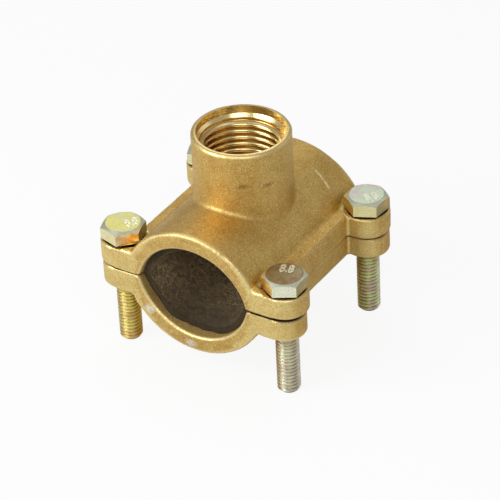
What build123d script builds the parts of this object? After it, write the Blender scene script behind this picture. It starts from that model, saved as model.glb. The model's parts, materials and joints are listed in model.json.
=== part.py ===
from build123d import *
import os
from math import sqrt

# Tapping saddle: a cast saddle with a threaded branch boss and a cast strap, drawn together
# round a pipe by four hexagon bolts. X runs across the pipe, Y along it and Z up the branch.
# The origin is the centre of the pipe seat, on the plane where the two castings part.

# Driving dimensions, in millimetres.

# Pipe, liners and clamp
pipe_diameter = 28.0            # outside diameter of the pipe that the clamp holds
liner_thickness = 1.6           # rubber between the pipe and each casting
liner_clearance = 0.05          # behind each liner
liner_setback = 2.3             # from a casting's end face to the end of its liner
clamp_length = 50.8             # both castings, along the pipe
parting_gap = 0.3               # between the castings while the clamp is closed
lip_radius = 1.0                # where a casting's bore runs out into its parting face

# Saddle casting
saddle_arch_drop = 3.6          # centre of the saddle's arch, below the parting plane
saddle_wall = 4.5
saddle_flange_land = 5.8        # parting face beside the bore, out to the flange's side
saddle_flange_thickness = 6.2
saddle_ear_radius = 5.9

# Strap casting
strap_arch_rise = 3.0           # centre of the strap's arch, above the parting plane
strap_wall = 4.6
strap_flange_land = 5.1
strap_flange_thickness = 6.1
strap_ear_radius = 5.4

# Creases and edges of both castings
crease_radius = 1.6             # between the arch and its flanges
ear_root_radius = 0.8           # where an ear leaves the side of its flange
back_edge_bevel = 0.45          # outer edges, away from the parting face
face_edge_bevel = 0.25          # edges of the parting face and of the bore

# Branch boss
boss_diameter = 24.8
boss_height = 16.3              # rim above the crown of the arch
boss_root_radius = 1.5
rim_edge_bevel = 0.3
branch_thread_diameter = 20.955  # major diameter of a half-inch pipe thread
branch_thread_length = 13.0
mouth_diameter = 22.2           # plain entry above the thread
mouth_depth = 2.9
mouth_taper = 0.8               # height of the cone between the entry and the thread
port_diameter = 15.0            # way through to the pipe
port_liner_margin = 0.5         # liner kept back from the port's edge

# Bolts
bolt_land = 8.0                 # from the saddle's bore, at the parting face, to a bolt's middle
bolt_diameter = 5.85            # over the crests of the thread
bolt_length = 30.0              # under the head
tip_chamfer = 0.7
head_across_flats = 10.0
head_height = 4.0               # washer face included
head_top_diameter = 8.7         # flat inside the chamfer
head_chamfer_slope = 0.577      # fall of the chamfer for each millimetre outwards
washer_face_diameter = 9.0
washer_face_height = 0.4
saddle_hole_clearance = 0.1     # round a bolt in the saddle's ear
strap_hole_clearance = 0.05     # round the crests of a bolt in the strap's ear
seat_depth = 0.3                # of the flat that is machined under a bolt's head
seat_margin = 0.5               # round the corners of a turning head
seat_gap = 0.05                 # under a head
head_turns = {                  # degrees that each head has been left turned by
    "front_left": 44.0,
    "front_right": 30.0,
    "rear_left": 50.0,
    "rear_right": 25.0,
}

# Values worked out from the dimensions above
tolerance = 0.01
parting_face = parting_gap / 2
half_length = clamp_length / 2
pipe_radius = pipe_diameter / 2
liner_back_radius = pipe_radius + liner_thickness
bore_radius = liner_back_radius + liner_clearance
saddle_lip_x = sqrt(bore_radius ** 2 - (parting_face + saddle_arch_drop) ** 2)
strap_lip_x = sqrt(bore_radius ** 2 - (parting_face + strap_arch_rise) ** 2)
saddle_flange_width = 2 * (saddle_lip_x + saddle_flange_land)
strap_flange_width = 2 * (strap_lip_x + strap_flange_land)
bolt_x = saddle_lip_x + bolt_land
bolt_y = half_length - saddle_ear_radius
bolt_radius = bolt_diameter / 2
head_corner_radius = head_across_flats / sqrt(3)
seat_radius = head_corner_radius + seat_margin
seat_height = parting_face + saddle_flange_thickness - seat_depth
crown_height = bore_radius + saddle_wall - saddle_arch_drop
rim_height = crown_height + boss_height
thread_top = rim_height - mouth_depth
thread_bottom = thread_top - branch_thread_length
BASE = (Align.CENTER, Align.CENTER, Align.MIN)
SIDES = {"front": -1, "rear": 1, "left": -1, "right": 1}


def corner_place(corner, x, y):
    """Place of a named corner, at x and y from the middle."""
    end, side = corner.split("_")
    return Pos(SIDES[side] * x, SIDES[end] * y, 0)


def upright(profile, length):
    """Solid with a profile drawn across the pipe, run the same way both sides of the middle."""
    return extrude(Plane.XZ * profile, length / 2, both=True)


def at_height(shape, height):
    """Whether a shape lies all at one height."""
    box = shape.bounding_box()
    return abs(box.min.Z - height) < tolerance and abs(box.max.Z - height) < tolerance


def on_end_face(shape):
    """Whether an edge lies in one of the two end faces."""
    box = shape.bounding_box()
    return box.size.Y < tolerance and abs(abs(box.min.Y) - half_length) < tolerance


def arch_profile(arch_drop, back_radius, flange_width, flange_top):
    """Arch and flanges seen along the pipe, with a fillet in each crease and no bore."""
    above = Rectangle(4 * back_radius, 2 * back_radius, align=(Align.CENTER, Align.MIN))
    arch = Pos(0, -arch_drop) * Circle(back_radius) & Pos(0, parting_face) * above
    flange = Rectangle(flange_width, flange_top - parting_face, align=(Align.CENTER, Align.MIN))
    profile = arch + Pos(0, parting_face) * flange
    crease_x = sqrt(back_radius ** 2 - (flange_top + arch_drop) ** 2)
    creases = [v for v in profile.vertices() if abs(abs(v.X) - crease_x) < tolerance]
    return fillet(creases, crease_radius)


def flange_outline(flange_width, ear_radius):
    """Flanges and their four ears seen from above, the ears level with the end faces."""
    ear_y = half_length - ear_radius
    outline = Rectangle(flange_width, clamp_length)
    for corner in head_turns:
        outline += corner_place(corner, bolt_x, ear_y) * Circle(ear_radius)
        outline += corner_place(corner, bolt_x / 2, ear_y) * Rectangle(bolt_x, 2 * ear_radius)
    inner_y = ear_y - ear_radius
    roots = [v for v in outline.vertices()
             if abs(abs(v.X) - flange_width / 2) < tolerance and abs(abs(v.Y) - inner_y) < tolerance]
    return fillet(roots, ear_root_radius)


def bore_profile(arch_drop):
    """Space for the pipe and the liner, opening in a rounded lip at the parting face."""
    below = Rectangle(4 * bore_radius, 2 * bore_radius, align=(Align.CENTER, Align.MAX))
    space = Pos(0, -arch_drop) * Circle(bore_radius) + Pos(0, parting_face) * below
    lip_x = sqrt(bore_radius ** 2 - (parting_face + arch_drop) ** 2)
    lips = [v for v in space.vertices() if abs(abs(v.X) - lip_x) < tolerance]
    return fillet(lips, lip_radius)


def edge_loop(body, height, nearest, furthest, arch_drop, flange_width):
    """Edges at one height round a casting's outline, joined by the arcs of its end faces.

    The arcs are the ones whose distance from the arch's axis is between nearest and furthest."""
    loop = []
    for edge in body.edges():
        middle = edge.position_at(0.5)
        from_axis = sqrt(middle.X ** 2 + (middle.Z + arch_drop) ** 2)
        round_outline = abs(middle.X) > flange_width / 2 - tolerance or on_end_face(edge)
        if at_height(edge, height) and round_outline:
            loop.append(edge)
        elif on_end_face(edge) and edge.geom_type == GeomType.CIRCLE and nearest < from_axis < furthest:
            loop.append(edge)
    return loop


def casting(arch_drop, wall, flange_width, flange_thickness, ear_radius):
    """One casting of the clamp with its arch upwards and no bolt holes."""
    back_radius = bore_radius + wall
    half_wall = bore_radius + wall / 2
    top = parting_face + flange_thickness
    body = upright(arch_profile(arch_drop, back_radius, flange_width, top), clamp_length)
    outline = flange_outline(flange_width, ear_radius)
    body += Pos(0, 0, parting_face) * extrude(outline, flange_thickness)
    body -= upright(bore_profile(arch_drop), 2 * clamp_length)
    back = edge_loop(body, top, half_wall, 2 * back_radius, arch_drop, flange_width)
    body = chamfer(back, back_edge_bevel)
    face = edge_loop(body, parting_face, 0, half_wall, arch_drop, flange_width)
    return chamfer(face, face_edge_bevel)


def at_bolts(make):
    """One copy of a shape at each bolt, turned as the bolt's head is."""
    return {corner: corner_place(corner, bolt_x, bolt_y) * Rot(0, 0, turn) * make
            for corner, turn in head_turns.items()}


def saddle():
    """Upper casting: arch, flanges, ears and the branch boss, bored and spot-faced."""
    body = casting(saddle_arch_drop, saddle_wall, saddle_flange_width, saddle_flange_thickness,
                   saddle_ear_radius)
    boss_radius = boss_diameter / 2
    boss_start = sqrt((bore_radius + saddle_wall / 2) ** 2 - boss_radius ** 2) - saddle_arch_drop
    body += Pos(0, 0, boss_start) * Cylinder(boss_radius, rim_height - boss_start, align=BASE)
    body -= upright(Pos(0, -saddle_arch_drop) * Circle(bore_radius), clamp_length)
    root = [edge for edge in body.edges() if round_boss(edge, boss_radius)]
    body = fillet(root, boss_root_radius)
    rim = [edge for edge in body.edges() if at_height(edge, rim_height)]
    body = chamfer(rim, rim_edge_bevel)
    body -= branch_way()
    for hole in at_bolts(saddle_bolt_way()).values():
        body -= hole
    return body


def round_boss(edge, boss_radius):
    """Whether an edge is where the boss's side meets the arch."""
    on_side = [abs(sqrt(p.X ** 2 + p.Y ** 2) - boss_radius) < tolerance
               for p in (edge.position_at(t / 8) for t in range(9))]
    box = edge.bounding_box()
    return all(on_side) and box.max.Z < rim_height - tolerance and box.size.Z < boss_height


def branch_way():
    """Space down the branch: plain mouth, cone, thread at its major diameter, port."""
    mouth_radius = mouth_diameter / 2
    thread_radius = branch_thread_diameter / 2
    port_radius = port_diameter / 2
    reach = 1.0
    profile = Polyline(
        (0, rim_height + reach),
        (mouth_radius, rim_height + reach),
        (mouth_radius, thread_top + mouth_taper),
        (thread_radius, thread_top),
        (thread_radius, thread_bottom),
        (port_radius, thread_bottom - (thread_radius - port_radius)),
        (port_radius, 0),
        (0, 0),
        close=True,
    )
    return revolve(Plane.XZ * make_face(profile), Axis.Z)


def saddle_bolt_way():
    """Clearance hole through an ear, and the flat cut round it for the head."""
    way = Pos(0, 0, -parting_gap) * Cylinder(bolt_radius + saddle_hole_clearance, 2 * seat_height, align=BASE)
    clear_height = crown_height + boss_height
    return way + Pos(0, 0, seat_height) * Cylinder(seat_radius, clear_height, align=BASE)


def strap():
    """Lower casting: arch, flanges and ears, tapped for the bolts."""
    body = casting(strap_arch_rise, strap_wall, strap_flange_width, strap_flange_thickness,
                   strap_ear_radius)
    depth = 3 * strap_flange_thickness
    for hole in at_bolts(Cylinder(bolt_radius + strap_hole_clearance, depth)).values():
        body -= hole
    return mirror(body, about=Plane.XY)


def liner(arch_drop):
    """Rubber lining of one casting, arch upwards, ending at the parting face."""
    length = clamp_length - 2 * liner_setback
    above = Rectangle(4 * bore_radius, 2 * bore_radius, align=(Align.CENTER, Align.MIN))
    ring = Pos(0, -arch_drop) * (Circle(liner_back_radius) - Circle(pipe_radius))
    return upright(ring & Pos(0, parting_face) * above, length)


def saddle_liner():
    """Lining of the saddle, with a hole round the port."""
    port = Cylinder(port_diameter / 2 + port_liner_margin, 4 * bore_radius)
    return liner(saddle_arch_drop) - port


def strap_liner():
    """Lining of the strap."""
    return mirror(liner(strap_arch_rise), about=Plane.XY)


def hex_bolt():
    """Hexagon-headed bolt, its washer face at height 0, thread at its crest diameter."""
    shank = Pos(0, 0, -bolt_length) * Cylinder(bolt_radius, bolt_length, align=BASE)
    shank = chamfer(shank.edges().group_by(Axis.Z)[0], tip_chamfer)
    washer_face = Cylinder(washer_face_diameter / 2, washer_face_height, align=BASE)
    hexagon = RegularPolygon(head_across_flats / 2, 6, major_radius=False)
    head = Pos(0, 0, washer_face_height) * extrude(hexagon, head_height - washer_face_height)
    spread = head_height / head_chamfer_slope
    head &= Cone(head_top_diameter / 2 + spread, head_top_diameter / 2, head_height, align=BASE)
    return shank + washer_face + head


def parts():
    """Every piece by name, in the clamp's own frame."""
    pieces = {
        "saddle_body": saddle(),
        "saddle_liner": saddle_liner(),
        "strap_body": strap(),
        "strap_liner": strap_liner(),
    }
    bolt = Pos(0, 0, seat_height + seat_gap) * hex_bolt()
    for corner, placed in at_bolts(bolt).items():
        pieces["bolt_" + corner] = placed
    return pieces


os.makedirs("parts", exist_ok=True)
for name, piece in parts().items():
    export_step(piece, f"parts/{name}.step")
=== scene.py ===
import json
from math import ceil, cos, hypot, pi, radians, sin

import bmesh
import bpy
import numpy as np
from mathutils import Matrix, Vector, noise
from mathutils.kdtree import KDTree


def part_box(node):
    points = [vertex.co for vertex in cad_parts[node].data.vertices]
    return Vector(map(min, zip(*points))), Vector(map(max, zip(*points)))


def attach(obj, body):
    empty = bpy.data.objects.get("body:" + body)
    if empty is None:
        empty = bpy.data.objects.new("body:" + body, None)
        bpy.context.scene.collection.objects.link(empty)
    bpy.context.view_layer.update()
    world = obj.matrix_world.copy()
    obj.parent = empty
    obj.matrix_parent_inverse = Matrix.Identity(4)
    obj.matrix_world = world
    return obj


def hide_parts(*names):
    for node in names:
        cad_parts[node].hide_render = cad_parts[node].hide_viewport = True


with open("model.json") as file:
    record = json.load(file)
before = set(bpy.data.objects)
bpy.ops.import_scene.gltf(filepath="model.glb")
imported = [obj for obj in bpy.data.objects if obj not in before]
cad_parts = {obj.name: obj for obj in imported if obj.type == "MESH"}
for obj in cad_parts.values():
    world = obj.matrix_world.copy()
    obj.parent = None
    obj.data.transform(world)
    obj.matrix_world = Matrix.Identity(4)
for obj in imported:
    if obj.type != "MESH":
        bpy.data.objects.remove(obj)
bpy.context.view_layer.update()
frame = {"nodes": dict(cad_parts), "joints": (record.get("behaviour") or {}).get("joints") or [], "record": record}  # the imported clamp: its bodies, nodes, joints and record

bl_info = {
    "name": "Tapping saddle finish",
    "version": (1, 0, 0),
    "blender": (4, 5, 0),
    "location": "View3D > Sidebar > Tapping saddle",
    "description": "Dresses a packed tapping saddle: cast brass, threads, plated bolts, "
                   "rubber liners",
    "category": "Object",
}

MM = 0.001
CORNERS = ["front_left", "front_right", "rear_left", "rear_right"]
BOLT_AXIS = {
    joint["child"]: Vector((joint["pos_m"][0], joint["pos_m"][1], 0))
    for joint in frame["joints"]
    if joint["child"].startswith("bolt_")
}
BOLT_LOW, BOLT_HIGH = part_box("bolt_front_right")
RIM_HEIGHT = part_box("saddle_body")[1].z
FLOOR_HEIGHT = BOLT_LOW.z


# ---- Settings that a user would change


def a_length(name, description, metres):
    """A setting that is a length."""
    return bpy.props.FloatProperty(name=name, description=description, default=metres,
                                   unit="LENGTH", precision=5)


def a_colour(name, description, shares):
    """A setting that is a colour."""
    return bpy.props.FloatVectorProperty(name=name, description=description, default=shares,
                                         subtype="COLOR", size=3)


def an_angle(name, description, degrees):
    """A setting that is an angle."""
    return bpy.props.FloatProperty(name=name, description=description,
                                   default=radians(degrees), subtype="ANGLE")


class CastingSettings(bpy.types.PropertyGroup):
    """Sizes and colours of the two brass castings."""

    fine_edge: a_length("Fine mesh", "Longest edge of the mesh beside a corner", 0.55 * MM)
    coarse_edge: a_length("Coarse mesh", "Longest edge of the mesh on open surfaces", 2.2 * MM)
    edge_band: a_length("Edge band", "Width of the fine mesh each side of a corner", 0.35 * MM)
    rounding: bpy.props.IntProperty(
        name="Rounding", description="Passes of smoothing that wear the cast corners round",
        default=4, min=0)
    ripple: a_length("Ripple", "Depth of the unevenness that the sand mould leaves", 0.09 * MM)
    ripple_size: a_length("Ripple size", "Between neighbouring rises of the surface", 5.0 * MM)
    skin_brass: a_colour("Skin", "Blasted brass of the outer skin", (0.665, 0.46, 0.145))
    # Painted light: this paler brass goes on the faces that look along the pipe.
    painted_light_brass: a_colour("End faces", "Paler brass of the end faces", (0.80, 0.635, 0.255))
    warm_brass: a_colour("Warm brass", "Browner brass of a dulled casting", (0.52, 0.29, 0.060))
    bare_brass: a_colour("Bare brass", "Brass machined or rubbed bright", (0.95, 0.79, 0.40))


class ThreadSettings(bpy.types.PropertyGroup):
    """Form of a screw thread."""

    pitch: a_length("Pitch", "Distance from one turn to the next", 1.0 * MM)
    depth: a_length("Depth", "From the crests to the roots", 0.5 * MM)
    segments: bpy.props.IntProperty(
        name="Segments", description="Faces round one turn", default=40, min=12)


class BoltSettings(bpy.types.PropertyGroup):
    """Sizes of the hexagon bolts."""

    across_flats: a_length("Across flats", "Width of the hexagon", 10.0 * MM)
    head_height: a_length("Head height", "Height of the head, washer face included", 4.0 * MM)
    top_diameter: a_length("Top diameter", "Flat inside the head's chamfer", 8.7 * MM)
    crest_diameter: a_length("Thread diameter", "Over the crests of the thread", 5.85 * MM)
    grade_mark: bpy.props.StringProperty(
        name="Strength mark", description="Raised number for the bolt's strength class",
        default="8.8")
    roughness: bpy.props.FloatProperty(
        name="Roughness", description="How dull the plating is", default=0.27,
        min=0, max=1, subtype="FACTOR")


class LinerSettings(bpy.types.PropertyGroup):
    """Sizes and colours of the two rubber liners."""

    cut_wave: a_length("Cut wave", "How far a liner's cut end wanders", 0.9 * MM)
    rubber: a_colour("Rubber", "Dark rubber", (0.150, 0.105, 0.056))
    dust: a_colour("Dust", "Pale dust in the rubber's grain", (0.46, 0.345, 0.19))


class StageSettings(bpy.types.PropertyGroup):
    """Floor, light and camera."""

    floor_colour: a_colour("Floor", "Colour of the floor", (0.72, 0.72, 0.72))
    sky: bpy.props.FloatProperty(
        name="Sky", description="Strength of the even light from all round", default=0.38, min=0)
    azimuth: an_angle("Azimuth", "Camera's turn from the front", 33.574)
    elevation: an_angle("Elevation", "Camera's height above the horizon", 34.338)
    roll: an_angle("Roll", "Camera's tilt about its own axis", -2.966)
    distance: a_length("Distance", "From the camera to its target", 743.6 * MM)
    lens: bpy.props.FloatProperty(
        name="Focal length", description="Focal length in millimetres", default=215.54)


class ClampSettings(bpy.types.PropertyGroup):
    """All settings of the clamp's finish."""

    casting: bpy.props.PointerProperty(type=CastingSettings)
    branch: bpy.props.PointerProperty(type=ThreadSettings)
    bolt: bpy.props.PointerProperty(type=BoltSettings)
    bolt_thread: bpy.props.PointerProperty(type=ThreadSettings)
    liner: bpy.props.PointerProperty(type=LinerSettings)
    stage: bpy.props.PointerProperty(type=StageSettings)


# ---- Expressions on nodes


class Signal:
    """A node's output that can stand in an expression on numbers."""

    def __init__(self, tree, socket):
        self.tree = tree
        self.socket = socket

    def math(self, operation, *operands):
        node = add_node(self.tree, "ShaderNodeMath", dict(enumerate(operands)),
                        operation=operation)
        return Signal(self.tree, node.outputs[0])

    def through(self, operation):
        """The number after an operation that takes nothing besides."""
        return self.math(operation, self)

    def __add__(self, other):
        return self.math("ADD", self, other)

    def __radd__(self, other):
        return self.math("ADD", other, self)

    def __sub__(self, other):
        return self.math("SUBTRACT", self, other)

    def __rsub__(self, other):
        return self.math("SUBTRACT", other, self)

    def __mul__(self, other):
        return self.math("MULTIPLY", self, other)

    def __rmul__(self, other):
        return self.math("MULTIPLY", other, self)

    def __truediv__(self, other):
        return self.math("DIVIDE", self, other)

    def clipped(self, low, high):
        return self.math("MAXIMUM", self.math("MINIMUM", self, high), low)

    def band(self, low, high):
        """0 at the low value, 1 at the high one, straight between and level outside."""
        node = add_node(self.tree, "ShaderNodeMapRange",
                        {"Value": self, "From Min": low, "From Max": high}, clamp=True)
        return Signal(self.tree, node.outputs["Result"])


def add_node(tree, kind, values=None, **settings):
    """A node with its settings made first, and then its sockets filled or linked."""
    node = tree.nodes.new(kind)
    for name, value in settings.items():
        if name == "stops":
            set_stops(node.color_ramp, value)
        else:
            setattr(node, name, value)
    for name, value in (values or {}).items():
        socket = node.inputs[name]
        if isinstance(value, Signal):
            tree.links.new(value.socket, socket)
        elif isinstance(value, bpy.types.NodeSocket):
            tree.links.new(value, socket)
        else:
            socket.default_value = value
    return node


def set_stops(ramp, stops):
    """Fills a colour ramp with stops, each a place and a colour."""
    while len(ramp.elements) < len(stops):
        ramp.elements.new(0.5)
    for element, (place, colour) in zip(ramp.elements, stops):
        element.position = place
        element.color = (*colour, 1.0)


# Sockets of a Mix node's colours, whose names its other kinds share
MIX_SHARE, MIX_FIRST, MIX_SECOND, MIX_RESULT = 0, 6, 7, 2


class Finish:
    """A material under construction, with the textures that its recipes use."""

    def __init__(self, name):
        self.material = bpy.data.materials.new(name)
        self.material.use_nodes = True
        self.tree = self.material.node_tree
        self.tree.nodes.clear()
        self.place = add_node(self.tree, "ShaderNodeTexCoord").outputs["Object"]

    def signal(self, kind, output, values=None, **settings):
        node = add_node(self.tree, kind, values, **settings)
        return Signal(self.tree, node.outputs[output])

    def stretched(self, scale, offset=(0, 0, 0)):
        """Object coordinates in millimetres, stretched and moved."""
        values = {"Vector": self.place, "Location": offset,
                  "Scale": tuple(s / MM for s in scale)}
        return add_node(self.tree, "ShaderNodeMapping", values).outputs["Vector"]

    def height(self):
        """Height of a place on the clamp, in millimetres."""
        return self.signal("ShaderNodeSeparateXYZ", "Z", {0: self.stretched((1, 1, 1))})

    def noise(self, size, detail=3.0, roughness=0.55, offset=(0, 0, 0), stretch=(1, 1, 1)):
        """Soft noise whose blotches are about one size across, in millimetres."""
        values = {"Vector": self.stretched(tuple(s / size for s in stretch), offset),
                  "Scale": 1.0, "Detail": detail, "Roughness": roughness}
        return self.signal("ShaderNodeTexNoise", "Fac", values)

    def near(self, place, size):
        """1 at a place, falling to 0 where it is one size away, in millimetres."""
        spot = self.stretched(tuple(1 / s for s in size),
                              tuple(-p / s for p, s in zip(place, size)))
        away = self.signal("ShaderNodeVectorMath", "Value", {0: spot}, operation="LENGTH")
        return away.band(1.0, 0.0)

    def attribute(self, name):
        return self.signal("ShaderNodeAttribute", "Fac", attribute_name=name)

    def mix(self, share, first, second):
        """One colour run into another."""
        values = {MIX_SHARE: share, MIX_FIRST: opaque(first), MIX_SECOND: opaque(second)}
        node = add_node(self.tree, "ShaderNodeMix", values, data_type="RGBA")
        return node.outputs[MIX_RESULT]

    def ramp(self, share, stops):
        node = add_node(self.tree, "ShaderNodeValToRGB", {"Fac": share}, stops=stops)
        return node.outputs["Color"]

    def bump(self, height, distance, below=None):
        """Normal of a surface raised by a height of 0 to 1 times a distance in millimetres."""
        values = {"Height": height, "Distance": distance * MM, "Strength": 1.0}
        if below is not None:
            values["Normal"] = below
        return add_node(self.tree, "ShaderNodeBump", values).outputs["Normal"]

    def surface(self, **sockets):
        """Ends the material in one Principled shader."""
        values = {name.replace("_", " "): value for name, value in sockets.items()}
        shader = add_node(self.tree, "ShaderNodeBsdfPrincipled", values)
        add_node(self.tree, "ShaderNodeOutputMaterial", {"Surface": shader.outputs[0]})
        return self.material


def opaque(colour):
    """A colour with its alpha, or the socket that gives one as it is."""
    return colour if isinstance(colour, bpy.types.NodeSocket) else (*colour, 1.0)


# ---- Materials

DARK_GRAIN = (0.42, 0.255, 0.070)
# Stain and painted shade for the faces in the gap between the castings.
PARTING_STAIN_AND_SHADE = (0.150, 0.092, 0.034)
WARM_CAST = (0.52, 0.28, 0.055)
STAIN = (0.30, 0.15, 0.030)
DULL_YELLOW = (0.55, 0.40, 0.08)
# Painted shadow in the notch at the front right, where the arch meets the ear.
NOTCH_PAINTED_SHADOW = (0.05, 0.03, 0.012)
SCRATCH = (0.98, 0.82, 0.44)
# Painted highlight.
EDGE_PAINTED_HIGHLIGHT = (0.86, 0.80, 0.66)


def scratch(start, end, count, width, strength):
    """Small bright marks in a row, which together draw a fine line."""
    places = [Vector(start).lerp(Vector(end), step / (count - 1)) for step in range(count)]
    return [(tuple(place), (width,) * 3, SCRATCH, strength) for place in places]


SADDLE_MARKS = [  # middle and reach in millimetres, colour, strength
    ((0.0, 0.0, 15.6), (16.5, 16.5, 3.2), WARM_CAST, 0.6),
    ((6.7, -10.5, 24.3), (2.3, 2.0, 0.95), STAIN, 1.0),
    ((10.9, -5.9, 23.6), (1.9, 2.6, 0.85), STAIN, 0.9),
    ((2.0, -19.0, 15.5), (9.0, 5.0, 3.0), WARM_CAST, 0.5),
    ((17.3, 15.1, 6.8), (2.2, 2.6, 2.2), DULL_YELLOW, 1.5),
    # Painted shadow in the notch at the front right, where the arch meets the ear.
    ((18.1, -22.4, 6.2), (0.9, 1.3, 0.9), NOTCH_PAINTED_SHADOW, 2.0),
    *scratch((9.9, 17.7, 13.9), (14.1, 16.7, 10.8), count=12, width=0.55, strength=1.3),
]
# Painted highlights on the front edge of the strap's bore.
STRAP_MARKS = [
    ((-12.7, -25.4, -8.8), (1.9, 0.9, 1.7), EDGE_PAINTED_HIGHLIGHT, 1.6),
    ((-1.1, -25.4, -15.2), (2.1, 0.9, 1.4), EDGE_PAINTED_HIGHLIGHT, 1.7),
]


def brass(name, colours, marks):
    """Cast and blasted brass, bright where an attribute says it is machined or rubbed, with painted
    light on the end faces, stain and painted shade beside the gap between the castings, and painted
    shadows and highlights among its marks.
    """
    finish = Finish(name)
    machined = finish.attribute("machined")
    rubbed = finish.attribute("rubbed")
    end_face = finish.attribute("end_face")
    blotch = finish.noise(7.0, detail=4.0)
    patch = finish.noise(2.2, offset=(5, 1, 3))
    grain = finish.noise(0.44, detail=2.0, roughness=0.7)
    speck = finish.noise(0.34, detail=1.0, offset=(9, 2, 4))
    turned = finish.noise(0.5, detail=2.0, stretch=(0.2, 0.2, 6.0))
    swell = finish.noise(1.1, offset=(2, 7, 1))
    # Painted light: the end faces get paler brass, and less of the dulling and dark grain below.
    light = finish.mix(end_face, colours.skin_brass, colours.painted_light_brass)
    dull = (blotch * 0.6 + patch * 0.4).band(0.44, 0.60)
    cast = finish.mix(dull * (0.55 - 0.30 * end_face), light, colours.warm_brass)
    for place, size, colour, strength in marks:
        near = finish.near(place, size) * (0.4 + 1.2 * patch) * strength
        cast = finish.mix(near.band(0.0, 1.0), cast, colour)
    cast = finish.mix(grain.band(0.54, 0.34) * (0.7 - 0.25 * end_face), cast, DARK_GRAIN)
    cast = finish.mix(speck.band(0.58, 0.72) * 0.6, cast, colours.bare_brass)
    cast = finish.mix(rubbed * (0.35 + 0.5 * patch), cast, colours.bare_brass)
    bright = finish.mix(turned.band(0.35, 0.65) * 0.3, colours.bare_brass, colours.warm_brass)
    colour = finish.mix(machined, cast, bright)
    # Stain and painted shade darken the faces in the gap between the castings.
    stain_and_shade = finish.attribute("parting") * (0.55 + 0.9 * blotch)
    colour = finish.mix(stain_and_shade.band(0.0, 1.0), colour, PARTING_STAIN_AND_SHADE)
    cast_roughness = 0.44 + 0.16 * grain - 0.14 * rubbed
    roughness = cast_roughness * (1 - machined) + machined * (0.17 + 0.12 * turned)
    coarse = finish.bump((1 - machined) * swell, 0.09)
    fine = finish.bump((1 - machined) * grain + machined * turned * 0.15, 0.055, coarse)
    return finish.surface(Base_Color=colour, Metallic=1 - 0.35 * finish.attribute("land"),
                          Roughness=roughness, Normal=fine)


FRESH_CUT = (0.84, 0.55, 0.20)
# Painted shade in the thread's roots.
ROOT_PAINTED_SHADE = (0.66, 0.37, 0.09)
# Painted shade on the left of the thread's inside.
THREAD_PAINTED_SHADE = (0.36, 0.17, 0.04)


def thread_brass(colours):
    """Freshly cut brass of the branch thread, with painted shade in its roots and on the left of
    its inside.
    """
    finish = Finish("cut_brass")
    streak = finish.noise(0.6, stretch=(1.0, 1.0, 5.0))
    patch = finish.noise(2.6, detail=2.0, offset=(3, 3, 8))
    crest = finish.attribute("crest")
    colour = finish.mix(patch.band(0.4, 0.7) * 0.5, colours.bare_brass, FRESH_CUT)
    colour = finish.mix(streak.band(0.5, 0.7) * 0.3, colour, colours.warm_brass)
    # Painted shade: the roots darker than the crests.
    colour = finish.mix(crest.band(0.75, 0.25) * 0.7, colour, ROOT_PAINTED_SHADE)
    # Painted shade on the left of the thread's inside.
    shaded = finish.near((-8.5, -1.0, 25.0), (5.5, 7.0, 7.0))
    colour = finish.mix(shaded.band(0.0, 0.5) * 0.65, colour, THREAD_PAINTED_SHADE)
    normal = finish.bump(streak, 0.012)
    return finish.surface(Base_Color=colour, Metallic=1.0, Roughness=0.16 + 0.14 * streak,
                          Normal=normal)


ZINC_TINTS = {  # top, its patches, shank, the shank's patches
    "front_left": ((0.98, 0.90, 0.30), (0.78, 0.88, 0.62), (1.0, 0.88, 0.30), (0.90, 0.62, 0.24)),
    "front_right": ((0.40, 0.27, 0.15), (0.46, 0.42, 0.26), (0.92, 0.92, 0.72), (0.80, 0.70, 0.56)),
    "rear_left": ((0.80, 0.72, 0.36), (0.60, 0.66, 0.44), (0.80, 0.70, 0.32), (0.60, 0.44, 0.26)),
    "rear_right": ((0.76, 0.86, 0.64), (0.74, 0.62, 0.64), (0.84, 0.90, 0.50), (0.80, 0.62, 0.54)),
}
# The film's own colours, with painted shade at the high tints, which darken towards olive brown.
FILM_AND_SHADE_COLOURS = [  # of the film on a head's flats, by tint
    (0.0, (0.90, 0.92, 0.70)),
    (0.35, (0.90, 0.83, 0.42)),
    (0.62, (0.82, 0.48, 0.19)),
    (1.0, (0.40, 0.34, 0.14)),
]
# Partly the film's own tints, partly painted shade: the flats facing right get the darkest.
FACET_TINTS_AND_SHADE = {  # of the flats that face left, front and right
    "front_left": (0.08, 0.45, 0.98),
    "front_right": (0.52, 0.05, 0.98),
    "rear_left": (0.3, 0.4, 0.8),
    "rear_right": (0.50, 0.27, 0.95),
}
HIDDEN_TINT = 0.3  # of the flats on the far side
CHAMFER_TINT = -1.0  # outside the film's tints, so that the shader can tell it
WASHER_TINT = 2.0  # likewise
# Painted highlight on the head's chamfer.
CHAMFER_PAINTED_HIGHLIGHT = (0.88, 0.89, 0.68)
# Painted shadow under each head, on its washer face and underside.
WASHER_PAINTED_SHADOW = (0.030, 0.024, 0.014)
# Painted highlight on the raised mark.
MARK_PAINTED_HIGHLIGHT = (0.95, 0.94, 0.78)
# Painted shade in the thread's grooves.
GROOVE_PAINTED_SHADE = (0.10, 0.085, 0.045)
PLATING_GRAIN = (0.30, 0.25, 0.12)


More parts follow.
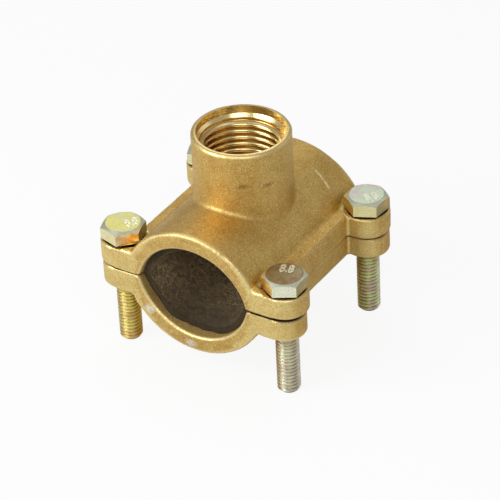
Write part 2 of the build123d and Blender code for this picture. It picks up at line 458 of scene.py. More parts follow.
def zinc(corner, bolt):
    """Zinc plating with a passivated film that drifts from yellow to green and pink, with painted
    shade on the right flats, under the head and in the thread's grooves, and painted highlights on
    the chamfer and the raised mark.
    """
    top, top_patch, shank, shank_patch = ZINC_TINTS[corner]
    offset = (3 + len(corner), CORNERS.index(corner) * 4, 2)
    finish = Finish("zinc_" + corner)
    height = finish.height()
    head_top = BOLT_HIGH.z / MM
    seat = head_top - bolt.head_height / MM
    on_head = height.band(seat - 0.1, seat)
    on_top = height.band(head_top - 0.18, head_top - 0.06)
    on_mark = height.band(head_top + 0.03, head_top + 0.07)
    drift = finish.noise(4.5, detail=2.0, offset=offset)
    film = finish.noise(1.5, offset=offset[::-1])
    grain = finish.noise(0.30, detail=2.0, roughness=0.7)
    tint = (drift * 0.5 + film * 0.5).band(0.46, 0.58)
    facet = finish.attribute("facet")
    # The film's colour, with painted shade on the flats facing right.
    side = finish.ramp(facet + (drift - 0.5) * 1.1 + (film - 0.5) * 0.3, FILM_AND_SHADE_COLOURS)
    # Painted shadow under the head.
    side = finish.mix(facet.band(1.4, 1.6), side, WASHER_PAINTED_SHADOW)
    # Painted highlight on the chamfer.
    side = finish.mix(facet.band(-0.7, -0.9), side, CHAMFER_PAINTED_HIGHLIGHT)
    colour = finish.mix(tint, shank, shank_patch)
    # Painted shade in the thread's grooves.
    colour = finish.mix(finish.attribute("groove").band(0.45, 0.95) * 0.75, colour, GROOVE_PAINTED_SHADE)
    colour = finish.mix(on_head, colour, side)
    colour = finish.mix(on_top, colour, finish.mix(tint * 0.8, top, top_patch))
    colour = finish.mix(grain.band(0.52, 0.36) * 0.3, colour, PLATING_GRAIN)
    # Painted highlight on the raised mark.
    colour = finish.mix(on_mark, colour, MARK_PAINTED_HIGHLIGHT)
    roughness = bolt.roughness + 0.14 * (grain - 0.5) + 0.10 * film
    normal = finish.bump(grain * 0.6 + film * 0.4, 0.03)
    return finish.surface(Base_Color=colour, Metallic=1.0, Roughness=roughness, Normal=normal)


RUBBER_CLUMP = (0.060, 0.044, 0.026)
# Painted shade at the liners' mouth.
RUBBER_PAINTED_SHADE = (0.040, 0.030, 0.018)
RUBBER_CUT = (0.034, 0.024, 0.013)


def rubber(name, liner):
    """Dull rubber with a speckled, dusty grain, with painted shade at its mouth, and darker at its
    cut ends.
    """
    finish = Finish(name)
    grain = finish.noise(0.55, roughness=0.75)
    clump = finish.noise(1.6, offset=(6, 2, 5))
    smear = finish.noise(7.0, detail=2.0, offset=(1, 8, 3))
    mouth = finish.near((0.0, -24.0, -13.0), (22.0, 20.0, 15.0))
    dusty = grain.band(0.44, 0.66) * (0.45 + 0.55 * smear.band(0.35, 0.65))
    colour = finish.mix(dusty, liner.rubber, liner.dust)
    colour = finish.mix(clump.band(0.52, 0.38) * 0.5, colour, RUBBER_CLUMP)
    # Painted shade: the liners' front and lower part darker.
    colour = finish.mix(mouth.band(0.05, 0.6) * 0.75, colour, RUBBER_PAINTED_SHADE)
    colour = finish.mix(finish.attribute("cut_edge") * 0.9, colour, RUBBER_CUT)
    normal = finish.bump(grain * 0.7 + clump * 0.3, 0.12)
    return finish.surface(Base_Color=colour, Roughness=0.82 + 0.15 * grain, Normal=normal,
                          Specular_IOR_Level=0.2)


# ---- Mesh helpers


def joined_copy(node):
    """A CAD node's mesh as one skin, its loose triangles joined at their corners."""
    skin = bmesh.new()
    skin.from_mesh(frame["nodes"][node].data)
    bmesh.ops.remove_doubles(skin, verts=skin.verts, dist=0.001 * MM)
    return skin


def refine(skin, wanted):
    """Splits edges until each is no longer than the length wanted at its middle."""
    for _ in range(10):
        long_edges = [edge for edge in skin.edges if edge.calc_length() > wanted(edge)]
        if not long_edges:
            break
        bmesh.ops.subdivide_edges(skin, edges=long_edges, cuts=1)
        many_sided = [face for face in skin.faces if len(face.verts) > 3]
        bmesh.ops.triangulate(skin, faces=many_sided)


def edge_middle(edge):
    return (edge.verts[0].co + edge.verts[1].co) / 2


def tree_along(edges, spacing):
    """Search tree of points along some edges, for finding how near a corner a place is."""
    points = []
    for edge in edges:
        start, end = edge.verts[0].co, edge.verts[1].co
        steps = max(1, ceil((end - start).length / spacing))
        points += [start.lerp(end, step / steps) for step in range(steps + 1)]
    tree = KDTree(len(points))
    for index, point in enumerate(points):
        tree.insert(point, index)
    tree.balance()
    return tree


def rows(items, name, width, kind=float):
    """One property of a mesh's items, as an array with a row for each."""
    flat = np.empty(len(items) * width, dtype=kind)
    items.foreach_get(name, flat)
    return flat.reshape(-1, width)


def set_places(mesh, places):
    mesh.vertices.foreach_set("co", places.ravel())
    mesh.update()


def smoothed(values, ends, freedom, passes):
    """Values drawn to the mean of their neighbours, each by its freedom, from 0 to 1."""
    count = len(values)
    both = np.concatenate([ends, ends[:, ::-1]])
    neighbours = np.bincount(both[:, 0], minlength=count)
    for _ in range(passes):
        total = np.stack([np.bincount(both[:, 0], values[both[:, 1], axis], count)
                          for axis in range(values.shape[1])], axis=1)
        values = values + (total / neighbours[:, None] - values) * freedom[:, None]
    return values


def put_attribute(mesh, name, domain, values):
    layer = mesh.attributes.new(name, "FLOAT", domain)
    layer.data.foreach_set("value", np.asarray(values, dtype=np.float32))


def finished_piece(mesh, name, material, body, slot, nodes):
    """Puts a mesh in the scene as a piece that rides on a body and stands for CAD nodes."""
    piece = bpy.data.objects.new(name, mesh)
    bpy.context.scene.collection.objects.link(piece)
    mesh.materials.clear()
    mesh.materials.append(material)
    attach(piece, body)
    if nodes:
        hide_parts(*nodes)


def to_mesh(skin, name):
    mesh = bpy.data.meshes.new(name)
    skin.to_mesh(mesh)
    skin.free()
    if "custom_normal" in mesh.attributes:
        mesh.attributes.remove(mesh.attributes["custom_normal"])
    return mesh


def rise(values, low, high):
    """0 at the low value, 1 at the high one, straight between and level outside."""
    return np.clip((values - low) / (high - low), 0.0, 1.0)


def shade(mesh, angle):
    """Smooth shading, with creases sharper than an angle kept."""
    mesh.shade_smooth()
    mesh.set_sharp_from_angle(angle=angle)


# ---- Castings


def from_bolts(places):
    """Each place's distance in plan from the nearest bolt's axis."""
    return np.min([np.hypot(places[:, 0] - axis.x, places[:, 1] - axis.y)
                   for axis in BOLT_AXIS.values()], axis=0)


class Machining:
    """Which places on a casting were cut by a tool."""

    tolerance = 0.02 * MM
    mouth_radius = 11.1 * MM  # plain entry above the branch's thread
    rim_width = 0.55 * MM  # round the mouth, out to where the rim's corner is worn
    branch_floor = 5.0 * MM  # the branch's wall is cut above this height
    seat_radius = 6.2735 * MM  # flats under the bolts' heads
    seat_gap = 0.05 * MM  # under a head
    seat_core = 5.2 * MM  # middle of a flat
    hole_wall = 0.2 * MM  # from a bolt out to its hole's wall
    hole_margin = 0.5 * MM  # from a bolt out past its hole's corner

    def __init__(self, bolts, branch):
        self.bolt_radius = bolts.crest_diameter / 2
        self.branch = branch
        self.seat_height = BOLT_HIGH.z - bolts.head_height - self.seat_gap

    def cut(self, places):
        """Which places lie on machined faces."""
        off_bolt, height = from_bolts(places), places[:, 2]
        on_flat = abs(height - self.seat_height) < self.tolerance
        on_wall = abs(off_bolt - self.seat_radius) < 2 * self.tolerance
        return (off_bolt < self.bolt_radius + self.hole_wall) | self.branch & (
            self.in_branch(places, self.tolerance)
            | (height > RIM_HEIGHT - self.tolerance)
            | on_flat & (off_bolt < self.seat_radius + self.tolerance)
            | on_wall & (height > self.seat_height))

    def crisp(self, places):
        """Which places keep their corners, which smoothing would wear away."""
        off_bolt = from_bolts(places)
        above_seat = places[:, 2] > self.seat_height - self.tolerance
        on_wall = abs(off_bolt - self.seat_radius) < 2 * self.tolerance
        return (off_bolt < self.bolt_radius + self.hole_margin) | self.branch & (
            self.in_branch(places, self.rim_width)
            | above_seat & ((off_bolt < self.seat_core) | on_wall))

    def in_branch(self, places, margin):
        """Which places lie in the branch's way, or within a margin round it."""
        off_branch = np.hypot(places[:, 0], places[:, 1])
        return (off_branch < self.mouth_radius + margin) & (places[:, 2] > self.branch_floor)


CORNER_ANGLE = radians(18)  # a bend this sharp is a corner that wears
MESH_GROWTH = 1.5  # of the mesh's edges, for each unit away from a corner
WEAR = 0.6  # freedom of a cast place to move as the corners are smoothed
RUB_WIDTH = 1.6  # of the bright band beside a corner, in edge bands


def cast_mesh(node, settings, machining):
    """A casting with worn corners and an uneven skin, crisp where it is machined."""
    skin = joined_copy(node)
    corners = [edge for edge in skin.edges
               if edge.is_manifold and edge.calc_face_angle() > CORNER_ANGLE]
    near = tree_along(corners, settings.fine_edge)
    fine, coarse, band = settings.fine_edge, settings.coarse_edge, settings.edge_band

    def wanted(edge):
        if edge.calc_length() < fine:
            return fine
        away = near.find(edge_middle(edge))[2] - edge.calc_length() / 2
        return fine if away < band else min(coarse, fine + MESH_GROWTH * (away - band))

    refine(skin, wanted)
    mesh = to_mesh(skin, node + "_skin")
    places = rows(mesh.vertices, "co", 3)
    ends = rows(mesh.edges, "vertices", 2, np.int32)
    freedom = np.where(machining.crisp(places), 0.0, WEAR)
    worn = smoothed(places, ends, freedom, settings.rounding)
    set_places(mesh, worn)
    worn[:, 2] += closing(worn, node)
    as_cast = (freedom > 0).astype(float)
    cover = smoothed(as_cast[:, None], ends, np.full(len(places), 0.5), 3)[:, 0] * as_cast
    normals = rows(mesh.vertex_normals, "vector", 3)
    sink = np.array([unevenness(place, settings.ripple_size) for place in worn])
    set_places(mesh, worn - normals * (sink * cover * settings.ripple)[:, None])
    off_corner = np.array([near.find(place)[2] for place in places])
    rubbed = rise(off_corner, RUB_WIDTH * band, 0.0) ** 1.5
    put_attribute(mesh, "rubbed", "POINT", rubbed * handled(places) * cover)
    centres = rows(mesh.polygons, "center", 3)
    put_attribute(mesh, "machined", "FACE", machining.cut(centres))
    # Stain and painted shade beside the gap between the castings.
    put_attribute(mesh, "parting", "POINT", gap_stain_and_shade(places))
    put_attribute(mesh, "land", "FACE", in_mouth(centres, LAND_END))
    # Painted light on the faces that look along the pipe.
    put_attribute(mesh, "end_face", "POINT", painted_light_share(places, normals))
    shade(mesh, radians(32))
    return mesh


TIGHTENED_BY = 0.09 * MM  # how far each casting closes the gap on its tighter side
TIGHT_SIDE = (13.0 * MM, 18.0 * MM)  # towards the left, where that begins and is whole
BESIDE_GAP = (0.9 * MM, 0.3 * MM)  # from the middle of the gap, likewise
STAIN_AND_SHADE_REACH = (0.46 * MM, 0.26 * MM)  # from the middle of the gap, likewise
STAIN_AND_SHADE_SIDE = (-21.0 * MM, 15.0 * MM)  # towards the right, likewise
LAND_RADIUS = 16.5 * MM  # the bore past a liner's end lies within this radius
LAND_START = 22.0 * MM  # and from here to the end face, from the middle of the clamp
LAND_END = 25.2 * MM
BOSS_FOOT = 14.0 * MM  # height over which nothing is an end face
FACING_END = (0.35, 0.75)  # the normal's share along the pipe, from a side to an end face
HANDLED_END = (17.0 * MM, 22.0 * MM)  # from the middle of the clamp
HANDLED_RIM = 3.0 * MM  # below the rim


def closing(places, node):
    """How far a casting reaches into the gap on the side that is done up tighter."""
    above = 1.0 if node == "saddle_body" else -1.0
    tighter = rise(-places[:, 0], *TIGHT_SIDE)
    return -above * TIGHTENED_BY * tighter * rise(above * places[:, 2], *BESIDE_GAP)


def gap_stain_and_shade(places):
    """Stain and painted shade beside the gap between the castings, least where they are done up
    tighter.
    """
    looser = 0.4 + 0.6 * rise(places[:, 0], *STAIN_AND_SHADE_SIDE)
    return rise(abs(places[:, 2]), *STAIN_AND_SHADE_REACH) * looser


def in_mouth(places, end=np.inf):
    """Whether each place lies inside the bore, past a liner's end and short of another end."""
    inside = np.hypot(places[:, 0], places[:, 2]) < LAND_RADIUS
    return inside & (abs(places[:, 1]) > LAND_START) & (abs(places[:, 1]) < end)


def painted_light_share(places, normals):
    """Share of painted light on each place: 1 on the end faces, 0 on the boss, the sides and the
    lands inside the bore's ends.
    """
    facing = rise(abs(normals[:, 1]), *FACING_END) * (places[:, 2] < BOSS_FOOT)
    return np.where(in_mouth(places), 0.1, facing)


def unevenness(place, size):
    """How far below the casting's true skin a place lies, from 0 to 1."""
    broad = noise.noise(Vector(place) / size)
    small = noise.noise(Vector(place) / size * 3.7 + Vector((11, 5, 7)))
    return min(1.0, max(0.0, 0.5 + 0.55 * broad + 0.25 * small))


def handled(places):
    """Share of rubbing that reaches each place: much at the ends and rim, little at the sides."""
    at_end = rise(abs(places[:, 1]), *HANDLED_END)
    at_rim = places[:, 2] > RIM_HEIGHT - HANDLED_RIM
    return np.maximum(np.maximum(at_end, at_rim), 0.25)


class SADDLE_OT_castings(bpy.types.Operator):
    """Dress the saddle and the strap as blasted brass castings"""

    bl_idname = "tapping_saddle.castings"
    bl_label = "Brass castings"

    def execute(self, context):
        clamp = context.scene.tapping_saddle
        for body, branch, marks in [("saddle", True, SADDLE_MARKS), ("strap", False, STRAP_MARKS)]:
            node = body + "_body"
            mesh = cast_mesh(node, clamp.casting, Machining(clamp.bolt, branch))
            finish = brass(body + "_brass", clamp.casting, marks)
            finished_piece(mesh, body + "_casting", finish, body, body + "_brass", [node])
        return {"FINISHED"}


# ---- Threads


THREAD_ROWS = 12  # rows of the mesh in one pitch
CREST_SHARE = 0.0625  # half the crest's flat, as a share of the pitch
ROOT_SHARE = 0.375  # from the crest's middle to the start of the root, likewise
WELD = 0.002 * MM
THREAD_INPUTS = ["Geometry", "Crest Radius", "Root Radius", "Pitch", "Length", "Run-out",
                 "Tip Radius", "Base Height", "Segments", "Turns", "Material"]
INPUT_KINDS = {"Geometry": "Geometry", "Segments": "Int", "Turns": "Int", "Material": "Material"}


def thread_tree():
    """Geometry tree of a screw thread's skin: rows that follow the helix, closed on themselves."""
    tree = bpy.data.node_groups.new("Screw thread", "GeometryNodeTree")
    for name in THREAD_INPUTS:
        tree.interface.new_socket(name, in_out="INPUT",
                                  socket_type="NodeSocket" + INPUT_KINDS.get(name, "Float"))
    tree.interface.new_socket("Geometry", in_out="OUTPUT", socket_type="NodeSocketGeometry")
    given = add_node(tree, "NodeGroupInput")

    def number(name):
        return Signal(tree, given.outputs[name])

    turns, length, run_out, root = map(number, ["Turns", "Length", "Run-out", "Root Radius"])
    grid = add_node(tree, "GeometryNodeMeshGrid",
                    {"Size X": 1.0, "Size Y": 1.0, "Vertices X": number("Segments") + 1,
                     "Vertices Y": turns * THREAD_ROWS + 1})
    position = add_node(tree, "GeometryNodeInputPosition").outputs[0]
    apart = add_node(tree, "ShaderNodeSeparateXYZ", {0: position})
    round_share = Signal(tree, apart.outputs["X"]) + 0.5
    along = (Signal(tree, apart.outputs["Y"]) + 0.5) * turns
    angle = round_share * (2 * pi)
    height = ((along + round_share - 1.0) * number("Pitch")).clipped(0.0, length)
    from_crest = ((along + 0.5).through("FRACT") - 0.5).through("ABSOLUTE")
    ridge = ((ROOT_SHARE - from_crest) / (ROOT_SHARE - CREST_SHARE)).clipped(0.0, 1.0)
    gate = (height / run_out).clipped(0.0, 1.0) * ((length - height) / run_out).clipped(0.0, 1.0)
    radius = root + (number("Crest Radius") - root) * ridge * gate
    radius = radius.math("MINIMUM", radius, number("Tip Radius") + height)
    place = add_node(tree, "ShaderNodeCombineXYZ",
                     {"X": radius * angle.through("COSINE"), "Y": radius * angle.through("SINE"),
                      "Z": height + number("Base Height")})
    bent = add_node(tree, "GeometryNodeSetPosition",
                    {"Geometry": grid.outputs["Mesh"], "Position": place.outputs[0]})
    welded = add_node(tree, "GeometryNodeMergeByDistance",
                      {"Geometry": bent.outputs[0], "Distance": WELD})
    real = add_node(tree, "GeometryNodeRealizeInstances", {0: welded.outputs[0]})
    painted = add_node(tree, "GeometryNodeSetMaterial",
                       {"Geometry": real.outputs[0], "Material": given.outputs["Material"]})
    add_node(tree, "NodeGroupOutput", {"Geometry": painted.outputs[0]})
    return tree


def thread_skin(inputs):
    """Plain mesh of a thread with the inputs asked for, made by the geometry tree."""
    tree = bpy.data.node_groups.get("Screw thread") or thread_tree()
    carrier = bpy.data.objects.new("thread_carrier", bpy.data.meshes.new("thread_carrier"))
    bpy.context.scene.collection.objects.link(carrier)
    modifier = carrier.modifiers.new("Thread", "NODES")
    modifier.node_group = tree
    names = {item.name: item.identifier for item in tree.interface.items_tree
             if item.in_out == "INPUT"}
    for name, value in inputs.items():
        modifier[names[name]] = value
    carrier.update_tag()
    return plain_mesh(carrier)


def plain_mesh(carrier):
    """The mesh that an object comes to, whose object is then taken away."""
    graph = bpy.context.evaluated_depsgraph_get()
    mesh = bpy.data.meshes.new_from_object(carrier.evaluated_get(graph))
    bpy.data.objects.remove(carrier)
    return mesh


class SADDLE_OT_branch_thread(bpy.types.Operator):
    """Cut the pipe thread inside the branch boss"""

    bl_idname = "tapping_saddle.branch_thread"
    bl_label = "Branch thread"

    wall_skin = 0.015 * MM  # the roots stand this far clear of the casting's wall
    sunk = 0.05 * MM  # the ring's back lies this far inside the casting
    run_out = 0.6  # of the thread at each end, in pitches

    def execute(self, context):
        clamp = context.scene.tapping_saddle
        form = clamp.branch
        mount = next(m for m in frame["record"]["mounts"] if m["name"] == "branch_thread")
        wall = mount["dims"]["r_mm"] * MM
        length = mount["dims"]["length_mm"] * MM
        middle = mount["pos_m"][2]
        finish = thread_brass(clamp.casting)
        mesh = thread_skin({
            "Crest Radius": wall - form.depth, "Root Radius": wall - self.wall_skin,
            "Pitch": form.pitch, "Length": length, "Run-out": form.pitch * self.run_out,
            "Tip Radius": 1.0, "Base Height": middle - length / 2,
            "Segments": form.segments, "Turns": ceil(length / form.pitch) + 1,
            "Material": finish})
        skin = bmesh.new()
        skin.from_mesh(mesh)
        rim = [edge for edge in skin.edges if edge.is_boundary]
        for vertex in {vertex for edge in rim for vertex in edge.verts}:
            grow = (wall + self.sunk) / vertex.co.xy.length
            vertex.co.x *= grow
            vertex.co.y *= grow
        bmesh.ops.bridge_loops(skin, edges=rim)
        bmesh.ops.recalc_face_normals(skin, faces=skin.faces)
        mesh = to_mesh(skin, "branch_thread_skin")
        reach = [(wall - vertex.co.xy.length) / form.depth for vertex in mesh.vertices]
        put_attribute(mesh, "crest", "POINT", np.clip(reach, 0.0, 1.0))
        shade(mesh, radians(50))
        finished_piece(mesh, "branch_thread", finish, "saddle", "saddle_brass", [])
        return {"FINISHED"}


# ---- Bolts


WASHER_RADIUS = 4.5 * MM
WASHER_HEIGHT = 0.4 * MM
CHAMFER_SLOPE = 0.577  # fall of the head's chamfer, for each unit outwards
HEAD_POINTS = 96  # round each ring of a head
FLATS_FACE = (-116.4, -56.4, 3.6)  # degrees, about, of the left, front and right flats
BOLT_RUN_OUT = 0.7  # of the thread at each end, in pitches
THREAD_SUNK = 0.1 * MM  # how far the thread reaches up into the head
TIP_NARROWING = 0.2 * MM  # the tip's radius is this much under the roots'
MARK_SIZE = 2.9 * MM
MARK_RELIEF = 0.08 * MM
MARK_STRETCH = 1.45
MARK_PLACES = {  # turn in degrees, and place from the head's middle along the turn
    "front_left": (58.0, (1.9, -1.0)),
    "front_right": (18.0, (0.2, 1.9)),
    "rear_left": (160.0, (0.0, 1.9)),
    "rear_right": (50.0, (0.6, -1.7)),
}


def head_rings(bolt, turn):
    """Rings of a hexagon head, from the washer face up to the rim of its flat top."""
    top_radius = bolt.top_diameter / 2
    columns = []
    for step in range(HEAD_POINTS):
        angle = 2 * pi * step / HEAD_POINTS
        off_flat = (angle + pi / 6) % (pi / 3) - pi / 6
        flat = bolt.across_flats / 2 / cos(off_flat)
        shoulder = bolt.head_height - (flat - top_radius) * CHAMFER_SLOPE
        profile = [(WASHER_RADIUS, 0.0), (WASHER_RADIUS, WASHER_HEIGHT), (flat, WASHER_HEIGHT),
                   (flat, shoulder), (top_radius, bolt.head_height)]
        across, along = cos(angle + turn), sin(angle + turn)
        columns.append([Vector((radius * across, radius * along, height))
                        for radius, height in profile])
    return list(zip(*columns))


def head_turn(corner):
    """Turn of a head's flats, read from the furthest corners of its CAD mesh."""
    axis = BOLT_AXIS["bolt_" + corner]
    spots = [vertex.co - axis for vertex in frame["nodes"]["bolt_" + corner].data.vertices]
    furthest = max(spots, key=lambda spot: round(spot.xy.length, 7))
    return Vector((furthest.x, furthest.y)).angle_signed(Vector((1, 0))) + pi / 6


def flat_tint(corner, angle):
    """Tint of the flat that a side of the head belongs to: the film's colour, with painted shade on
    the flats facing right.
    """
    for facing, tint in zip(FLATS_FACE, FACET_TINTS_AND_SHADE[corner]):
        apart = (angle - radians(facing) + pi) % (2 * pi) - pi
        if abs(apart) < pi / 6:
            return tint
    return HIDDEN_TINT


def head_skin(skin, bolt, corner, seat):
    """Adds a closed hexagon head whose washer face lies at the seat."""
    turn = head_turn(corner)
    tint = skin.faces.layers.float.new("facet")
    rings = [[skin.verts.new(seat + point) for point in ring] for ring in head_rings(bolt, turn)]
    for level, (low, high) in enumerate(zip(rings, rings[1:])):
        for index in range(HEAD_POINTS):
            following = (index + 1) % HEAD_POINTS
            side = skin.faces.new([low[index], low[following], high[following], high[index]])
            flat = round((index + 0.5) / HEAD_POINTS * 6) * pi / 3 + turn
            side[tint] = [WASHER_TINT, WASHER_TINT, flat_tint(corner, flat), CHAMFER_TINT][level]
    skin.faces.new(rings[0][::-1])[tint] = WASHER_TINT
    skin.faces.new(rings[-1])


def grade_mark(text, corner, head_middle):
    """Raised figures on the top of a head."""
    curve = bpy.data.curves.new("grade_mark", "FONT")
    curve.body = text
    curve.size = MARK_SIZE
    curve.extrude = MARK_RELIEF
    curve.bevel_depth = MARK_RELIEF / 2
    curve.align_x = "CENTER"
    curve.align_y = "CENTER"
    curve.offset = MARK_SIZE * 0.02
    carrier = bpy.data.objects.new("grade_mark", curve)
    bpy.context.scene.collection.objects.link(carrier)
    mark = plain_mesh(carrier)
    turn, off_middle = MARK_PLACES[corner]
    mark.transform(Matrix.Translation(head_middle)
                   @ Matrix.Rotation(radians(turn), 4, "Z")
                   @ Matrix.Translation(Vector((*off_middle, 0)) * MM)
                   @ Matrix.Diagonal((1.0, MARK_STRETCH, 1.0, 1.0)))
    return mark


def bolt_mesh(corner, bolt, form, finish):
    """One bolt: head with its raised mark, and a thread down to the chamfered tip."""
    low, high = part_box("bolt_" + corner)
    axis = BOLT_AXIS["bolt_" + corner]
    seat_height = high.z - bolt.head_height
    length = seat_height - low.z
    crest = bolt.crest_diameter / 2
    root = crest - form.depth
    thread = thread_skin({
        "Crest Radius": crest, "Root Radius": root, "Pitch": form.pitch,
        "Length": length + THREAD_SUNK, "Run-out": form.pitch * BOLT_RUN_OUT,
        "Tip Radius": root - TIP_NARROWING, "Base Height": low.z,
        "Segments": form.segments, "Turns": ceil(length / form.pitch) + 2, "Material": finish})
    skin = bmesh.new()
    skin.from_mesh(thread)
    bmesh.ops.holes_fill(skin, edges=[edge for edge in skin.edges if edge.is_boundary])
    bmesh.ops.translate(skin, verts=skin.verts, vec=axis)
    bmesh.ops.recalc_face_normals(skin, faces=skin.faces)
    groove = skin.verts.layers.float.new("groove")
    for vertex in skin.verts:
        vertex[groove] = (crest - (vertex.co - axis).xy.length) / form.depth
    head_skin(skin, bolt, corner, axis + Vector((0, 0, seat_height)))
    skin.from_mesh(grade_mark(bolt.grade_mark, corner, axis + Vector((0, 0, high.z))))
    mesh = to_mesh(skin, "bolt_" + corner + "_skin")
    shade(mesh, radians(28))
    return mesh


class SADDLE_OT_bolts(bpy.types.Operator):
    """Make the four plated hexagon bolts with their threads"""

    bl_idname = "tapping_saddle.bolts"
    bl_label = "Bolts"

    def execute(self, context):
        clamp = context.scene.tapping_saddle
        for corner in CORNERS:
            node = "bolt_" + corner
            finish = zinc(corner, clamp.bolt)
            mesh = bolt_mesh(corner, clamp.bolt, clamp.bolt_thread, finish)
            finished_piece(mesh, corner + "_bolt", finish, node, "bolt_zinc_" + corner, [node])
        return {"FINISHED"}


# ---- Liners


LINER_EDGE = 1.6 * MM  # longest edge of a liner's mesh
LINER_END_EDGE = 0.6 * MM  # likewise, beside its ends
LINER_END_BAND = 1.5 * MM
TRIMMED = {"saddle_liner": 0.2, "strap_liner": 0.6}  # off each end, in cut waves
END_PULL = 6  # how steeply the shift of an end dies away along the liner
CUT_BAND = 2.5  # the cut edge lies this near the end, in cut waves
CUT_SHARE = 0.97  # and past this much of the shift


def liner_mesh(node, settings):
    """A liner with its ends cut by hand, so that they wander."""
    skin = joined_copy(node)
    end = max(vertex.co.y for vertex in skin.verts)

    def wanted(edge):
        at_end = abs(edge_middle(edge).y) > end - LINER_END_BAND
        return LINER_END_EDGE if at_end else LINER_EDGE

    refine(skin, wanted)
    mesh = to_mesh(skin, node + "_skin")
    places = rows(mesh.vertices, "co", 3)
    shift = np.array([cut_wander(place) + TRIMMED[node] for place in places]) * settings.cut_wave
    share = (abs(places[:, 1]) / end) ** END_PULL
    places[:, 1] -= np.sign(places[:, 1]) * shift * share
    set_places(mesh, places)
    at_end = abs(places[:, 1]) > end - CUT_BAND * settings.cut_wave
    put_attribute(mesh, "cut_edge", "POINT", at_end & (share > CUT_SHARE))
    shade(mesh, radians(40))
    return mesh


def cut_wander(place):
    """How far a liner's end is cut back at a place, about -1 to 1."""
    spot = Vector((place[0], 0.4 * place[1], place[2]))
    return noise.noise(spot / (6.0 * MM)) * 1.3 + 0.35 * noise.noise(spot / (1.8 * MM))


class SADDLE_OT_liners(bpy.types.Operator):
    """Dress the two rubber liners"""

    bl_idname = "tapping_saddle.liners"
    bl_label = "Rubber liners"

    def execute(self, context):
        settings = context.scene.tapping_saddle.liner
        for body in ["saddle", "strap"]:
            node = body + "_liner"
            name = body + "_rubber"
            finished_piece(liner_mesh(node, settings), name, rubber(name, settings), body, name,
                           [node])
        return {"FINISHED"}


# ---- Stage


CAMERA_TARGET = Vector((0.80, 0.0, -2.24)) * MM
FLOOR_REACH = 6.0
CAMERA_SHARE = 0.90  # of the floor's glow that the camera sees, shadows kept in the rest
REFLECTED_SHARE = 0.10  # of it that reflections see
CAMERA_REACH = (0.05, 20.0)  # nearest and farthest, in metres
LAMPS = [  # azimuth and elevation in degrees, distance and size in metres, radiance
    ("key", -34, 33, 0.5, 0.3, 6.2),
    ("fill", 36, 40, 0.5, 0.26, 3.0),
    ("rear", 140, 27, 0.8, 0.5, 0.4),
    ("overhead", -146, 58, 0.9, 0.7, 1.0),
]


def towards(azimuth, elevation):
    """Direction from the clamp, turned from its front and raised from the horizon."""
    return Vector((sin(azimuth) * cos(elevation), -cos(azimuth) * cos(elevation),
                   sin(elevation)))


def camera_at(stage):
    """Camera that looks down on the clamp from its front right."""
    data = bpy.data.cameras.new("camera")
    data.lens = stage.lens
    data.clip_start, data.clip_end = CAMERA_REACH
    camera = bpy.data.objects.new("camera", data)
    bpy.context.scene.collection.objects.link(camera)
    back = towards(stage.azimuth, stage.elevation)
    level = Vector((0, 0, 1)).cross(back).normalized()
    above = back.cross(level)
    right = cos(stage.roll) * level + sin(stage.roll) * above
    up = cos(stage.roll) * above - sin(stage.roll) * level
    turn = Matrix((right, up, back)).transposed().to_4x4()
    camera.matrix_world = Matrix.Translation(CAMERA_TARGET + back * stage.distance) @ turn
    bpy.context.scene.camera = camera


def soft_lamp(name, azimuth, elevation, distance, size, radiance):
    """A square soft box that faces the clamp, its brightness given as radiance."""
    data = bpy.data.lights.new(name, "AREA")
    data.size = size
    data.energy = radiance * pi * size * size
    lamp = bpy.data.objects.new(name, data)
    bpy.context.scene.collection.objects.link(lamp)
    back = towards(radians(azimuth), radians(elevation))
    lamp.rotation_mode = "QUATERNION"
    lamp.rotation_quaternion = back.to_track_quat("Z", "Y")
    lamp.location = back * distance


def floor(stage):
    """Wide pale floor under the bolts' tips."""
    mesh = bpy.data.meshes.new("floor")
    corners = [(x * FLOOR_REACH, y * FLOOR_REACH, FLOOR_HEIGHT)
               for x, y in [(-1, -1), (1, -1), (1, 1), (-1, 1)]]
    mesh.from_pydata(corners, [], [(0, 1, 2, 3)])
    piece = bpy.data.objects.new("floor", mesh)
    bpy.context.scene.collection.objects.link(piece)
    mesh.materials.append(floor_finish(stage))


def floor_finish(stage):
    """Matt floor that the camera and reflections see as nearly white, shadows kept."""
    finish = Finish("floor")
    tree = finish.tree
    ray = add_node(tree, "ShaderNodeLightPath")
    seen = (Signal(tree, ray.outputs["Is Camera Ray"]) * CAMERA_SHARE
            + Signal(tree, ray.outputs["Is Glossy Ray"]) * REFLECTED_SHARE
            + Signal(tree, ray.outputs["Is Transmission Ray"]) * REFLECTED_SHARE)
    matt = add_node(tree, "ShaderNodeBsdfDiffuse", {"Color": opaque(stage.floor_colour)})
    glow = add_node(tree, "ShaderNodeEmission", {"Color": (1, 1, 1, 1), "Strength": 1.0})
    shaders = {0: seen, 1: matt.outputs[0], 2: glow.outputs[0]}
    mixed = add_node(tree, "ShaderNodeMixShader", shaders)
    add_node(tree, "ShaderNodeOutputMaterial", {"Surface": mixed.outputs[0]})
    return finish.material


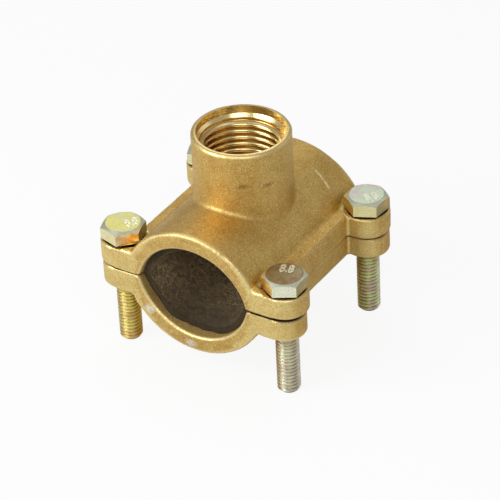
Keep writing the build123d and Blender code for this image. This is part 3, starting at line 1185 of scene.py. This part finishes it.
def sky(stage):
    """Even light from all round, white where the camera sees past the floor."""
    world = bpy.data.worlds.new("studio")
    bpy.context.scene.world = world
    world.use_nodes = True
    tree = world.node_tree
    tree.nodes.clear()
    ray = add_node(tree, "ShaderNodeLightPath")
    seen = (Signal(tree, ray.outputs["Is Camera Ray"])
            + Signal(tree, ray.outputs["Is Transmission Ray"])).band(0.0, 1.0)
    strength = stage.sky + seen * (1.0 - stage.sky)
    glow = add_node(tree, "ShaderNodeBackground", {"Color": (1, 1, 1, 1), "Strength": strength})
    add_node(tree, "ShaderNodeOutputWorld", {"Surface": glow.outputs[0]})


class SADDLE_OT_stage(bpy.types.Operator):
    """Lay the floor, hang the soft lamps and set the camera"""

    bl_idname = "tapping_saddle.stage"
    bl_label = "Stage"

    def execute(self, context):
        stage = context.scene.tapping_saddle.stage
        context.scene.view_settings.view_transform = "Standard"
        floor(stage)
        sky(stage)
        for lamp in LAMPS:
            soft_lamp(*lamp)
        camera_at(stage)
        return {"FINISHED"}


# ---- Panel and registration


OPERATORS = [SADDLE_OT_castings, SADDLE_OT_branch_thread, SADDLE_OT_bolts, SADDLE_OT_liners,
             SADDLE_OT_stage]


class SADDLE_PT_panel(bpy.types.Panel):
    """Lists the steps that dress the tapping saddle"""

    bl_idname = "SADDLE_PT_panel"
    bl_label = "Tapping saddle"
    bl_space_type = "VIEW_3D"
    bl_region_type = "UI"
    bl_category = "Tapping saddle"

    def draw(self, context):
        for operator in OPERATORS:
            self.layout.operator(operator.bl_idname)


CLASSES = [CastingSettings, ThreadSettings, BoltSettings, LinerSettings, StageSettings,
           ClampSettings, *OPERATORS, SADDLE_PT_panel]


def register():
    for item in CLASSES:
        bpy.utils.register_class(item)
    bpy.types.Scene.tapping_saddle = bpy.props.PointerProperty(type=ClampSettings)


def unregister():
    del bpy.types.Scene.tapping_saddle
    for item in reversed(CLASSES):
        bpy.utils.unregister_class(item)


def main():
    register()
    clamp = bpy.context.scene.tapping_saddle
    clamp.branch.pitch = 1.814 * MM
    clamp.branch.depth = 1.162 * MM
    clamp.branch.segments = 96
    bpy.ops.tapping_saddle.castings()
    bpy.ops.tapping_saddle.branch_thread()
    bpy.ops.tapping_saddle.bolts()
    bpy.ops.tapping_saddle.liners()
    bpy.ops.tapping_saddle.stage()


if __name__ == "__main__":
    main()
